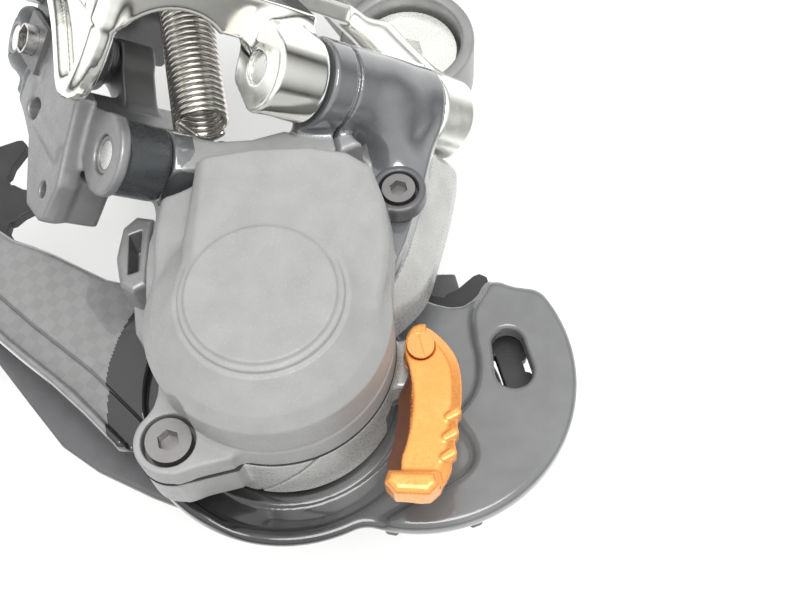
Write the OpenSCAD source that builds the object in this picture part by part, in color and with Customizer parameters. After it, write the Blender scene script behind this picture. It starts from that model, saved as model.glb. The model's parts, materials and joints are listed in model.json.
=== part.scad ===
// Rear bicycle derailleur with a clutch in its lower knuckle, in millimetres.
// Origin: hanger bolt axis at the face that seats on the frame's hanger.
// +X is towards the front of the bicycle, +Y is inboard, +Z is up.

/* [Placement] */
// Lower (cage) axle, forward of the hanger bolt
cage_axle_x = 54; // [53.8:0.1:54.2]
// Lower (cage) axle, below the hanger bolt
cage_axle_drop = 34; // [33.8:0.1:34.2]
// Rear axle of the bracket link, behind the hanger bolt
bracket_reach = 31; // [30.8:0.1:31.2]
// Rear axle of the bracket link, below the hanger bolt
bracket_drop = 9; // [8.8:0.1:9.2]

/* [Parallelogram] */
// Distance between the two pins of each link
link_len = 42; // [41.8:0.1:42.2]
// Angle of the links at the smallest sprocket
rest_angle = -26; // [-26.5:0.1:-25.5]
// Lean of the link pins, from vertical towards the bicycle
pin_lean = 50.8; // [50.6:0.1:51]
// Radius of the link pins
link_pin_r = 2.25; // [2.2:0.01:2.3]

/* [Cage] */
// Distance between the two pulley axles
pulley_spacing = 102; // [101:0.5:103]
// Teeth on each pulley
pulley_teeth = 11; // [11:1:11]
// Chain pitch
chain_pitch = 12.7; // [12.7:0.1:12.7]
// Radius of the cage axle in its bush
cage_axle_r = 5; // [4.9:0.05:5.1]

/* [Mounts] */
// Radius of the hanger bolt's thread
hanger_thread_r = 5; // [4.95:0.05:5]
// Radius of the hanger bolt's shoulder in the bracket
hanger_shoulder_r = 5.6; // [5.5:0.05:5.7]
// Radius of the port for the cable housing
housing_port_r = 2.6; // [2.5:0.05:2.7]

/* [Fits] */
// Radial running clearance of pins and axles
running = 0.04; // [0.02:0.01:0.06]
// Clearance between separate bodies that don't touch
gap = 0.3; // [0.25:0.05:0.35]

/* [Hidden] */
$fn = 48;

slant = 90 - pin_lean;
ax = cage_axle_x;
az = -cage_axle_drop;
bx = -bracket_reach;
bz = -bracket_drop;
// Pins at the lower knuckle and at the upper one, as [forward, across] seen along the pins
p1 = [19.9, -11.6];
p2 = p1 + [4, 22];
link_step = link_len * [cos(rest_angle), sin(rest_angle)];
b1 = p1 - link_step;
b2 = p2 - link_step;
// Depths along the pins
near_p = [-44.3, -35.6];
far_p = [-12.8, -6.1];
near_b = [-58, -50.3];
far_b = [-28.7, -22];
spring_depth = -41.5;
spring_r = 4.3;
spring_wire_r = 0.45;
// Cage geometry, relative to the cage axle
guide = [3.5, 21.4];
cage_turn = 235.3;
tension = guide + pulley_spacing * [cos(cage_turn), sin(cage_turn)];
pitch_r = chain_pitch / 2 / sin(180 / pulley_teeth);
tip_r = pitch_r + 2.6;
plate_y = [4.2, 6.6];
inner_plate_y = [15.6, 17.6];
pulley_y = (plate_y[1] + inner_plate_y[0]) / 2;
case_r = 18.5;
cover_top = -31;
cover_base = -10.2;
case_y = [-9.8, 3.5];

// A round bar along Y at (x, z), from y0 to y1
module rod(x, z, y0, y1, r, fn = $fn)
    translate([x, y0, z]) rotate([-90, 0, 0]) cylinder(h = y1 - y0, r = r, $fn = fn);

// A flat shape drawn in X and Z, from y0 to y1
module plate(y0, y1)
    translate([0, y1, 0]) rotate([90, 0, 0]) linear_extrude(y1 - y0) children();

// The frame of the link pins: X forward, Y across, Z along the pins
module on_pins() rotate([-slant, 0, 0]) children();

// A round bar along the link pins at p = [forward, across], from d0 to d1
module pin_rod(p, d0, d1, r, fn = $fn)
    on_pins() translate([p[0], p[1], d0]) cylinder(h = d1 - d0, r = r, $fn = fn);

// The frame of a link whose upper pin is at b: X towards the lower pin
module on_link(b)
    on_pins() translate([b[0], b[1], 0]) rotate([0, 0, rest_angle]) children();

// A flat shape drawn across the pins in a link's frame, from depth d0 to d1
module link_slab(b, d0, d1)
    on_link(b) translate([0, 0, d0]) linear_extrude(d1 - d0) children();

// A round bar in a link's frame at [along, across]
module link_rod(b, u, v, d0, d1, r, fn = $fn)
    on_link(b) translate([u, v, d0]) cylinder(h = d1 - d0, r = r, $fn = fn);

// A cap screw along Y: head at y0, socket of width af across its flats
module cap_screw(x, z, y0, head_r, head_h, shaft_r, shaft_h, af) {
    difference() {
        union() {
            rod(x, z, y0, y0 + head_h, head_r);
            rod(x, z, y0 + head_h, y0 + head_h + shaft_h, shaft_r);
        }
        rod(x, z, y0 - 1, y0 + head_h * 0.65, af / sqrt(3), 6);
    }
}

// A tube of radius r with n sides along a list of points
module swept_tube(points, r, n = 8) {
    count = len(points);
    rings = [for (i = [0 : count - 1])
        let (t = points[min(i + 1, count - 1)] - points[max(i - 1, 0)],
             z = t / norm(t),
             a = abs(z[0]) < 0.8 ? [1, 0, 0] : [0, 1, 0],
             side = cross(z, a) / norm(cross(z, a)),
             up = cross(side, z))
        for (k = [0 : n - 1])
            points[i] + r * (cos(360 * k / n) * side + sin(360 * k / n) * up)];
    walls = [for (i = [0 : count - 2]) for (k = [0 : n - 1])
        [i * n + k, i * n + (k + 1) % n, (i + 1) * n + (k + 1) % n, (i + 1) * n + k]];
    first = [[for (k = [n - 1 : -1 : 0]) k]];
    last = [[for (k = [0 : n - 1]) (count - 1) * n + k]];
    polyhedron(points = rings, faces = concat(walls, first, last), convexity = 10);
}

// Points of a coil along Z: turns of radius r from height z0 to z1
function coil(r, turns, z0, z1, steps = 12, start = 0) =
    [for (i = [0 : turns * steps])
        [r * cos(start + 360 * i / steps), r * sin(start + 360 * i / steps),
         z0 + (z1 - z0) * i / (turns * steps)]];

// ---- Hanger side ----

module hanger_bolt() color("gainsboro") difference() {
    union() {
        rod(0, 0, -8.4, -5.2, 8.9);
        rod(0, 0, -5.2, 0, hanger_shoulder_r);
        rod(0, 0, 0, 8.5, hanger_thread_r);
    }
    rod(0, 0, -9, -4.2, 5 / sqrt(3), 6);
}

module bracket_link() color("dimgray") difference() {
    union() {
        rod(0, 0, -12, 0, 12.1);
        hull() {
            rod(-6, -1, -10.6, -3.4, 8, 32);
            rod(bx, bz, -10.6, -3.4, 8.6, 32);
        }
        // stop that the upper knuckle's tension screw bears on
        translate([bx - 6.2, -16.4, bz + 11.1]) cube([2.4, 13, 3.5]);
        translate([bx - 6.2, -10.6, bz + 4.6]) cube([2.4, 7.2, 10]);
    }
    rod(0, 0, -12.5, -5.2, 9.7);
    rod(0, 0, -6, 1, hanger_shoulder_r);
    rod(bx, bz, -11, 1, 4);
}

module b_axle() color("silver") difference() {
    union() {
        rod(bx, bz, -28, -25.3, 8);
        rod(bx, bz, -25.3, -10.8, 5);
        rod(bx, bz, -10.8, -3.6, 4);
    }
    rod(bx, bz, -29, -25.8, 5 / sqrt(3), 6);
}

// ---- Upper knuckle ----

module b_knuckle() color([0.09, 0.09, 0.1]) difference() {
    union() {
        rod(bx, bz, -25, -11, 10.6);
        on_pins() translate([0, 0, -55]) linear_extrude(25)
            polygon([[-26, 1], [-33, 2], [-37, 12], [-36, 28], [-29, 36], [-21.4, 35],
                [-21.4, 23], [-25.5, 14]]);
        hull() {
            rod(bx - 3, bz - 1, -24, -17, 6.4, 32);
            on_pins() translate([-32.6, 8, -40]) cylinder(h = 8, r = 4.4, $fn = 32);
        }
        pin_rod(b1, -50, -29, 6);
        on_pins() translate([-28, b1[1] - 4.5, -50]) cube([10, 9, 21]);
        pin_rod(b2, -58.5, -46.8, 6);
        pin_rod(b2, -46.8, -45, 4.5);
        on_pins() translate([-24, b2[1] - 4.5, -55]) cube([10, 9, 8.2]);
        // boss for the cable housing, at the back
        housing_boss(-52, -34, 5);
        // lug of the tension screw
        translate([bx + 0.5, -16.6, bz + 8]) cube([6, 5.4, 8]);
    }
    rod(bx, bz, -26, -10, 6.6);
    rod(bx, bz, -21, -12.8, 9);
    pin_rod(b1, -60, -20, link_pin_r);
    pin_rod(b2, -66, -37, link_pin_r);
    // slot that the return spring's end sits in
    on_pins() translate([-18.5, b1[1] - 7, spring_depth - 5.2]) cube([12, 14, 10.4]);
    housing_boss(-53, -33, housing_port_r);
    translate([bx - 1, -13.9, bz + 12.9]) rotate([0, 90, 0]) cylinder(h = 10, r = 1.5);
}

// A cylinder on the line of the cable housing's port, from x0 to x1
module housing_boss(x0, x1, r)
    on_pins() translate([x0, 21, -44]) rotate([0, 90, 0]) cylinder(h = x1 - x0, r = r);

module b_axle_bush() color("tan") difference() {
    rod(bx, bz, -24.8, -11.2, 6.6);
    rod(bx, bz, -25, -11, 5 + running);
}

module b_axle_spring() color("gray")
    translate([bx, 0, bz]) rotate([-90, 0, 0]) swept_tube(coil(7.8, 4, -20, -13.8), 0.6);

module b_tension_screw() color("silver")
    translate([bx + 9.6, -13.9, bz + 12.9]) rotate([0, -90, 0]) difference() {
        union() {
            cylinder(h = 2.6, r = 2.6);
            translate([0, 0, 2.6]) cylinder(h = 10.6, r = 1.5);
        }
        translate([0, 0, -1]) cylinder(h = 2.6, r = 2.5 / sqrt(3), $fn = 6);
    }

module limit_screws() color("silver") for (v = [26, 32])
    on_pins() translate([-30, v, -57.8]) difference() {
        union() {
            cylinder(h = 2.4, r = 2.3);
            translate([0, 0, 2.4]) cylinder(h = 0.4, r = 1.2);
        }
        translate([0, 0, -0.5]) cylinder(h = 1.8, r = 2 / sqrt(3), $fn = 6);
    }

module knuckle_link_pins() color("silver") {
    pin_rod(b1, near_b[0] + 0.2, far_b[1] - 0.2, link_pin_r);
    pin_rod(b2, -62.8, -38.2, link_pin_r);
}

// ---- Links ----

module outer_link() color([0.87, 0.87, 0.84]) difference() {
    union() {
        // near arm and its lower boss
        link_rod(b1, link_len, 0, near_p[0], near_p[1], 7);
        hull() {
            link_rod(b1, link_len - 3, -3, near_p[0] + 0.3, near_p[0] + 6.8, 5.5, 32);
            link_rod(b1, 20, -7.5, near_p[0] - 4, near_p[0] + 4, 1.6, 32);
        }
        // far arm and its lower boss
        link_rod(b1, link_len, 0, far_p[0], far_p[1], 7);
        hull() {
            link_rod(b1, link_len - 3, -3, far_p[0] + 0.3, far_p[1] - 0.3, 5.5, 32);
            link_rod(b1, 20, -7.5, -26, -20.5, 1.6, 32);
        }
        // outer web over the return spring
        hull() {
            link_rod(b1, 2, -7.9, -69, -24, 1.5, 32);
            link_rod(b1, 24, -7.9, -69, -22, 1.5, 32);
        }
        // upper bosses
        link_rod(b1, 0, 0, near_b[0], near_b[1], 6.2);
        link_slab(b1, near_b[0], near_b[1])
            polygon([[-5, -3], [-0.5, -8.9], [14, -8.9], [14, -6.6], [6, 1.2]]);
        link_rod(b1, 0, 0, far_b[0], far_b[1], 6.2);
        link_slab(b1, far_b[0], far_b[1])
            polygon([[-5, -3], [-0.5, -8.9], [14, -8.9], [14, -6.6], [6, 1.2]]);
        // side fin
        link_slab(b1, -69.4, -66.3)
            polygon([[0, -9.2], [26, -9.2], [36, -2], [38.5, 6], [37.5, 13], [34, 15],
                [24, 9], [10, 4], [1, 0]]);
    }
    link_rod(b1, 0, 0, -60, -20, 3);
    link_rod(b1, link_len, 0, -46, -5, 3);
    // room for the lower knuckle's boss between the arms
    link_rod(b1, link_len, 0, -35.4, -12.85, 7.6);
    // room for the hanger bolt's ring as the link swings
    for (turn = [0 : 3 : 33]) on_pins() translate([b1[0], b1[1], 0]) rotate([0, 0, -turn])
        translate([-b1[0], -b1[1], 0]) rotate([slant, 0, 0]) rod(0, 0, -12.6, 2, 12.7);
}

module link_bush(b, u, d0, d1, r) difference() {
    link_rod(b, u, 0, d0, d1, r);
    link_rod(b, u, 0, d0 - 1, d1 + 1, link_pin_r + running);
}

module outer_link_bushes() color("tan") {
    link_bush(b1, 0, near_b[0], near_b[1], 3);
    link_bush(b1, 0, far_b[0], far_b[1], 3);
    link_bush(b1, link_len, near_p[0], near_p[1], 3);
    link_bush(b1, link_len, far_p[0], far_p[1], 3);
}

module inner_link() color([0.3, 0.3, 0.31]) difference() {
    union() {
        // outboard plate with the cable anchor
        link_slab(b2, -63, -59.5)
            polygon([[-6, -2], [-3, -6], [6, -8], [15, -8], [22, -3], [34, -4], [35, 3], [37, 9],
                [36, 16], [28, 17], [20, 9], [8, 6.5], [-3, 6]]);
        link_rod(b2, 0, 0, -63, -58.8, 6);
        link_rod(b2, link_len, 0, -59.5, -51, 6);
        link_slab(b2, -59.5, -51) polygon([[24, 3.6], [42, -5.9], [42, 5.9], [24, 6.6]]);
        // web behind the return spring
        link_slab(b2, -63, -51) polygon([[8, 3.6], [34, 3.6], [34, 6.6], [8, 6.6]]);
        link_slab(b2, -51.5, -31) polygon([[8, 3.6], [34, 3.6], [34, 6.6], [8, 6.6]]);
        // inboard arm
        link_rod(b2, 0, 0, -44.7, -38, 4.5);
        link_slab(b2, -44.7, -38) polygon([[0.5, -4.2], [12, 3.6], [12, 6.6], [0, 4.4]]);
        link_rod(b2, link_len, 0, -36.7, -31, 5.4);
        link_slab(b2, -36.7, -31) polygon([[30, 3.6], [42, -5.3], [42, 5.3], [30, 6.6]]);
    }
    link_rod(b2, 0, 0, -64, -37, 3);
    link_rod(b2, link_len, 0, -60, -30, 3);
    link_rod(b2, 19.1, 4.6, -64, -56, 2.1);
    link_rod(b2, 32.6, 12.3, -64, -58, 1.4);
    link_rod(b2, 11.4, -4.2, -64, -58, 2.5);
}

module inner_link_bushes() color("tan") {
    link_bush(b2, 0, -63, -58.8, 3);
    link_bush(b2, 0, -44.7, -38, 3);
    link_bush(b2, link_len, -59.5, -51, 3);
    link_bush(b2, link_len, -36.7, -31, 3);
}

module cable_bolt() color("silver") difference() {
    union() {
        link_rod(b2, 11.4, -4.2, -65.9, -64, 2.5);
        link_rod(b2, 11.4, -4.2, -64, -58, 2.5);
    }
    link_rod(b2, 11.4, -4.2, -66.4, -63, 4 / sqrt(3), 6);
}

module cable_washer() color([0.15, 0.15, 0.16]) difference() {
    link_slab(b2, -64, -63) polygon([[7, -8], [16, -8], [16, 0], [7, 0]]);
    link_rod(b2, 11.4, -4.2, -65, -62, 2.5);
}

module cable_guide() color([0.08, 0.08, 0.09]) on_link(b2) difference() {
    translate([17.5, -9, -60.8]) rotate([0, 90, 0]) cylinder(h = 14, r = 1.9);
    translate([17, -9, -60.8]) rotate([0, 90, 0]) cylinder(h = 15, r = 0.9);
}

// The return spring runs from the upper pin of the outer link to the lower pin of the inner one
spring_span = p2 - b1;
spring_len = norm(spring_span);
spring_turn = atan2(spring_span[1], spring_span[0]);

module link_spring() color("silver")
    on_pins() translate([b1[0], b1[1], spring_depth]) rotate([0, 90, spring_turn])
        swept_tube(coil(spring_r, 26, 7.5, spring_len - 10.2), spring_wire_r, 6);

module spring_eye() color("silver")
    on_pins() translate([p2[0], p2[1], spring_depth]) rotate([0, 0, spring_turn + 180])
        swept_tube(concat([[9, 0, -spring_r], [8.4, 0, -3.2], [7.4, 0, -1.4], [6.2, 0.3, -0.3],
            [4.6, 1.2, 0]], [for (a = [40 : 20 : 320]) [3.05 * cos(a), 3.05 * sin(a), 0]]),
            spring_wire_r, 8);

// ---- Lower knuckle ----

module p_knuckle() color([0.05, 0.05, 0.055]) difference() {
    union() {
        rod(ax, az, case_y[0], case_y[1], case_r);
        // main block behind the case, up to the link pins
        plate(-19.3, -3)
            polygon([[ax - 25.4, az - 12], [ax - 25.4, az + 26], [ax - 21, az + 33.5],
                [ax - 14, az + 33.5], [ax - 4, az + 25], [ax + 6, az + 17.4], [ax, az],
                [ax - 4, az - 18], [ax - 13, az - 17], [ax - 22, az - 15]]);
        hull() {
            pin_rod(p1, -35, -13.2, 7, 32);
            on_pins() translate([p1[0] + 11, p1[1] + 1, -33]) cylinder(h = 16, r = 5, $fn = 32);
        }
        // lower boss of the inner link
        pin_rod(p2, -50.7, -37.05, 6);
        on_pins() translate([p2[0], p2[1] - 6, -50.7]) cube([10, 12, 13.7]);
        ear(case_y[0], case_y[0] + 8.5);
        // lug of the clutch lever
        rod(ax + 5.6, az + 21.6, -7.4, 0, 4.2);
        plate(-7.4, 0) polygon([[ax + 1.5, az + 17], [ax + 9, az + 15.4], [ax + 9.8, az + 21.6],
            [ax + 1.4, az + 21.6]]);
        // stop for the cage pin
        plate(-4, 2.4) polygon([[ax - 25.4, az + 0.8], [ax - 17, az + 0.8], [ax - 17, az + 6],
            [ax - 25.4, az + 6]]);
    }
    // room for the cover, its screw tab and the inner link's inboard arm
    rod(ax, az, -40, case_y[0], case_r + 0.3);
    plate(-45, -19.5) cover_outline();
    rod(ax - 16.8, az + 23.9, -45, -19.5, 4.6);
    pin_rod(p2, -37.05, -27, 6.2);
    // room for the heel of the lever
    rod(ax + 5.6, az + 21.6, -16, -8.9, 6.2);
    // clutch chamber, bush bore and screw holes
    rod(ax, az, case_y[0] - 1, 1.2, 16.2);
    rod(ax, az, -2, case_y[1] + 1, 6.6);
    pin_rod(p1, -36, -12, link_pin_r);
    pin_rod(p2, -52, -36, link_pin_r);
    rod(ax + 12, az - 18.4, case_y[0] - 1, case_y[0] + 7, 2);
    rod(ax - 16.8, az + 23.9, -20, -12, 1.5);
    rod(ax + 5.6, az + 21.6, -8, -1.5, 1.5);
    // slot that the return spring's eye turns in
    pin_rod(p2, spring_depth - 1.1, spring_depth + 1.1, 4.1);
    on_pins() translate([p2[0], p2[1], spring_depth - 1.1]) linear_extrude(2.2)
        polygon(concat([[0, 0]], [for (turn = [168 : 14 : 252]) 9 * [cos(turn), sin(turn)]]));
}

// The screw ear in front of and below the case
module ear(y0, y1) {
    rod(ax + 12, az - 18.4, y0, y1, 5.4);
    plate(y0, y1) polygon([[ax + 6.9, az - 20.2], [ax - 2, az - 17.8], [ax + 2, az - 8],
        [ax + 14, az - 6], [ax + 17.4, az - 9.5], [ax + 17.4, az - 18.4]]);
}

module cage_link_pins() color("silver") {
    pin_rod(p1, near_p[0] + 0.2, far_p[1] - 0.2, link_pin_r);
    pin_rod(p2, -59.3, -31.2, link_pin_r);
}

module cover_outline() polygon([[ax - 25.3, az - 10.6], [ax - 25.3, az + 6],
    [ax - 20.6, az + 19.4], [ax - 15, az + 22.3], [ax - 5, az + 21.8], [ax + 8, az + 16.6],
    [ax, az], [ax - 6, az - 17.3], [ax - 21, az - 14]]);

module clutch_cover() color([0.2, 0.2, 0.21]) difference() {
    union() {
        translate([ax, 0, az]) rotate([90, 0, 0]) rotate_extrude()
            polygon([[0, -cover_base], [case_r, -cover_base], [case_r, 24.2], [15.6, 27],
                [11.4, -cover_top], [0, -cover_top]]);
        hull() {
            plate(-19.6, -19.5) cover_outline();
            plate(-29.6, -29.5) intersection() {
                cover_outline();
                translate([ax - 24.6, az - 9.8]) square([40, 31]);
            }
            plate(cover_top, cover_top + 0.1) polygon([[ax - 22.6, az - 8.4], [ax - 22.6, az + 6],
                [ax - 18.6, az + 16.6], [ax - 14, az + 19.8], [ax - 7, az + 18.8], [ax + 1, az + 11],
                [ax + 1, az - 11]]);
        }
        ear(-15, cover_base);
        rod(ax - 16.8, az + 23.9, -23, -19.5, 4.4);
    }
    rod(ax, az, cover_top + 2, -20, 9);
    rod(ax, az, -27.4, -20, 12.6);
    rod(ax, az, -23.8, cover_base + 1, 16.4);
    rod(ax + 12, az - 18.4, -16, cover_base + 1, 2.05);
    rod(ax + 12, az - 18.4, -16, -11.6, 4.1);
    rod(ax - 16.8, az + 23.9, -24, -19, 1.55);
    rod(ax - 16.8, az + 23.9, -24, -20.6, 3.2);
    pin_rod(p2, -60, -36, 6.4);
}

module cover_gasket() color([0.03, 0.03, 0.03]) difference() {
    union() {
        rod(ax, az, cover_base, case_y[0], case_r);
        ear(cover_base, case_y[0]);
    }
    rod(ax, az, cover_base - 1, case_y[0] + 1, 16.6);
    rod(ax + 12, az - 18.4, cover_base - 1, case_y[0] + 1, 2.05);
}

module cover_bolts() color("silver") {
    cap_screw(ax + 12, az - 18.4, -15, 3.5, 3.4, 2, 8, 3);
    cap_screw(ax - 16.8, az + 23.9, -23, 2.6, 2.4, 1.5, 7, 2.5);
}

module drain_plug() color([0.06, 0.06, 0.06]) difference() {
    plate(-18, -9) polygon([[ax - 24.5, az - 14.6], [ax - 21.4, az - 15.5], [ax - 12.8, az - 17.4],
        [ax - 12, az - 20.6], [ax - 15, az - 21.8], [ax - 24, az - 19.6], [ax - 26, az - 17.4]]);
    plate(-19, -12) polygon([[ax - 22.5, az - 17], [ax - 16, az - 18.4], [ax - 15.8, az - 19.8],
        [ax - 22.2, az - 18.6]]);
}

module friction_band() color("silver") difference() {
    union() {
        rod(ax, az, -26.5, -14.5, 11.4);
        translate([ax + 2, -23, az + 9.5]) cube([7, 7, 3.6]);
    }
    rod(ax, az, -27, -14, 9.65);
    translate([ax + 5, -28, az + 6]) cube([1.2, 15, 10]);
}

module roller_clutch() color("gray") difference() {
    rod(ax, az, -26.3, -14.7, 9.6);
    rod(ax, az, -27, -14, cage_axle_r + running);
}

module cage_bush() color("tan") difference() {
    union() {
        rod(ax, az, -1.8, case_y[1], 6.6);
        rod(ax, az, -3, -1.8, 8.4);
    }
    rod(ax, az, -4, case_y[1] + 1, cage_axle_r + running);
}

module cage_spring() color("gray")
    translate([ax, 0, az]) rotate([-90, 0, 0]) swept_tube(coil(12.6, 4, -12.6, -4.4), 0.9);

// ---- Clutch lever ----

module clutch_lever() color([0.85, 0.42, 0.08]) difference() {
    union() {
        plate(-12.4, -9.2) polygon([[ax + 1.5, az + 23.8], [ax + 3.7, az + 24.6],
            [ax + 7.5, az + 25.6], [ax + 10.5, az + 25.6], [ax + 16.6, az + 23.7],
            [ax + 22.8, az + 21.4], [ax + 28.4, az + 18.4], [ax + 28.6, az + 14.4],
            [ax + 22.4, az + 14.6], [ax + 20.8, az + 16], [ax + 15.8, az + 18.2],
            [ax + 10.7, az + 19.4], [ax + 5.4, az + 19.2], [ax + 2.6, az + 20.4]]);
        // eccentric hub that tightens the friction band
        rod(ax + 6, az + 21.6, -9.4, -7.7, 2.9);
        plate(-14.6, -9.2) polygon([[ax + 24.4, az + 12.2], [ax + 26.4, az + 18.6],
            [ax + 28, az + 18.4], [ax + 29, az + 17], [ax + 27.4, az + 12.2],
            [ax + 25.8, az + 11.4]]);
    }
    rod(ax + 5.6, az + 21.6, -13, -7, 1.8);
}

module lever_screw() color([0.8, 0.5, 0.2]) difference() {
    union() {
        rod(ax + 5.6, az + 21.6, -13.1, -12.6, 2.1);
        rod(ax + 5.6, az + 21.6, -12.6, -7.4, 1.8 - running);
        rod(ax + 5.6, az + 21.6, -7.4, -1.5, 1.5);
    }
    translate([ax + 3.5, -13.2, az + 21.4]) cube([4.2, 0.4, 0.4]);
}

// ---- Cage ----

module cage_axle() color("silver") difference() {
    union() {
        rod(ax, az, -28.4, -26.9, 7);
        rod(ax, az, -26.9, 4.2, cage_axle_r);
        rod(ax, az, 4.2, 6.6, 6.5);
    }
    rod(ax, az, 1, 8, 5 / sqrt(3), 6);
}

module axle_seal() color([0.02, 0.02, 0.02]) difference() {
    rod(ax, az, 3.8, 4.2, 8);
    rod(ax, az, 3.5, 4.5, 5.2);
}

module at_guide() translate([ax + guide[0], az + guide[1]]) children();
module at_tension() translate([ax + tension[0], az + tension[1]]) children();
module at_axle() translate([ax, az]) children();

module outer_cage_plate() color([0.07, 0.07, 0.075]) difference() {
    union() {
        plate(plate_y[0], plate_y[1]) difference() {
            union() {
                at_guide() circle(26.5);
                at_axle() circle(26.6);
                at_axle() polygon([[6.7, -27.7], [-8.5, -37.6], [-20.3, -46.7],
                    [tension[0] + 4, tension[1] - 5.8], [tension[0] - 4.5, tension[1] + 5.4],
                    [-41.9, -44.9], [-37.4, -38.1], [-31.4, -31.6], [-27.3, -26.7], [-22, -14]]);
                at_tension() circle(7);
            }
            // bay behind the guide pulley's horn
            at_axle() polygon([[-8.2, 50], [-9, 41.4], [-12.6, 38.6], [-9.1, 34.2], [-7.8, 31.2],
                [-10.4, 27.1], [-14, 23], [-30, 21], [-40, 50]]);
            at_axle() hull() {
                translate([1.6, 37.4]) circle(2.7);
                translate([6.6, 37]) circle(3.2);
            }
        }
        // raised rim around the guide pulley
        plate(plate_y[0] - 1.4, plate_y[0]) difference() {
            intersection() {
                at_guide() circle(26.5);
                at_axle() translate([-6, 10]) square([50, 40]);
            }
            at_axle() circle(25.2);
            at_axle() hull() {
                translate([1.6, 37.4]) circle(2.7);
                translate([6.6, 37]) circle(3.2);
            }
            at_axle() polygon([[-8.2, 50], [-9, 41.4], [-12.6, 38.6], [-9.1, 34.2],
                [-7.8, 31.2], [-10.4, 27.1], [-20, 21], [-40, 50]]);
        }
    }
    rod(ax, az, 3, 8, 6.5);
    rod(ax + guide[0], az + guide[1], 0, 8, 2);
    rod(ax + tension[0], az + tension[1], 0, 8, 2);
    rod(ax - 21.9, az - 1.8, 0, 8, 1.5);
}

module inner_cage_plate() color([0.1, 0.1, 0.11]) difference() {
    union() {
        rod(ax + guide[0], az + guide[1], inner_plate_y[0], inner_plate_y[1], 15);
        rod(ax + tension[0], az + tension[1], inner_plate_y[0], inner_plate_y[1], 7.2);
        plate(inner_plate_y[0], inner_plate_y[1]) at_axle() polygon([[-10, 26], [14, 14],
            [16, -13], [12.6, -21.5], [8.6, -27.3], [1.6, -35.9], [-4.6, -41.5],
            [-14.5, -46.6], [-23.4, -51.1], [tension[0] + 4.6, tension[1] - 5.2],
            [tension[0] - 4.6, tension[1] + 5.2], [-38, -40], [-22, -26], [-17, -6], [-14, 16],
            [-22, 26], [-20, 34], [-15, 34], [-12.6, 28]]);
    }
    plate(14, 19) at_axle() polygon([[-9, 5], [-4, 7.5], [1, 4], [-3, -17], [-8, -20],
        [-11.5, -16]]);
    plate(14, 19) at_axle() polygon([[-19.4, -29.4], [-16.2, -32.2], [-31, -45.6],
        [-34, -42.4]]);
    rod(ax + guide[0], az + guide[1], 14, 19, 2);
    rod(ax + tension[0], az + tension[1], 14, 19, 2);
}

module cage_stop_pin() color("silver")
    rod(ax - 21.9, az - 1.8, -1.6, 6.6, 1.5);

module pulley_bolts() color("silver") for (c = [guide, tension])
    translate([ax + c[0], 0, az + c[1]]) difference() {
        union() {
            rod(0, 0, inner_plate_y[1], inner_plate_y[1] + 1.6, 3.6);
            rod(0, 0, plate_y[0], inner_plate_y[1], 2);
        }
        rod(0, 0, inner_plate_y[1] - 0.6, inner_plate_y[1] + 2, 3 / sqrt(3), 6);
    }

module pulley_bush(c) difference() {
    rod(ax + c[0], az + c[1], plate_y[1], inner_plate_y[0], 3.3);
    rod(ax + c[0], az + c[1], 6, 17, 2);
}

module guide_bush() color("silver") pulley_bush(guide);
module tension_bush() color("silver") pulley_bush(tension);

module pulley(c, turn) translate([ax + c[0], 0, az + c[1]]) difference() {
    union() {
        plate(pulley_y - 1.15, pulley_y + 1.15) rotate(turn) difference() {
            union() {
                circle(pitch_r - 3.9);
                for (i = [0 : pulley_teeth - 1]) rotate(360 * i / pulley_teeth)
                    polygon([[16, -4.6], [18.9, -4.2], [20.6, -2.9], [tip_r - 0.8, -1.5],
                        [tip_r, -0.8], [tip_r, 0.8], [tip_r - 0.8, 1.5], [20.6, 2.9], [18.9, 4.2],
                        [16, 4.6]]);
            }
            for (i = [0 : 4]) rotate(72 * i) polygon([[8.4, -2.6], [13.6, -5.6], [14.8, 0],
                [13.6, 5.6], [8.4, 2.6]]);
        }
        rod(0, 0, pulley_y - 3.2, pulley_y + 3.2, 6.6);
    }
    rod(0, 0, 0, 20, 3.3 + running);
}

module guide_pulley() color([0.13, 0.13, 0.13]) pulley(guide, 8);
module tension_pulley() color([0.13, 0.13, 0.13]) pulley(tension, 20);

module pulley_caps(c) for (y = [plate_y[1] + 0.3, inner_plate_y[0] - 1])
    translate([ax + c[0], 0, az + c[1]]) difference() {
        rod(0, 0, y, y + 0.7, 6.2);
        rod(0, 0, y - 1, y + 2, 3.3);
    }

module guide_caps() color("dimgray") pulley_caps(guide);
module tension_caps() color("dimgray") pulley_caps(tension);

hanger_bolt();
bracket_link();
b_axle();
b_knuckle();
b_axle_bush();
b_axle_spring();
b_tension_screw();
limit_screws();
knuckle_link_pins();
outer_link();
outer_link_bushes();
inner_link();
inner_link_bushes();
cable_bolt();
cable_washer();
cable_guide();
link_spring();
spring_eye();
p_knuckle();
cage_link_pins();
clutch_cover();
cover_gasket();
cover_bolts();
drain_plug();
friction_band();
roller_clutch();
cage_bush();
cage_spring();
clutch_lever();
lever_screw();
cage_axle();
axle_seal();
outer_cage_plate();
inner_cage_plate();
cage_stop_pin();
pulley_bolts();
guide_bush();
tension_bush();
guide_pulley();
tension_pulley();
guide_caps();
tension_caps();
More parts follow.
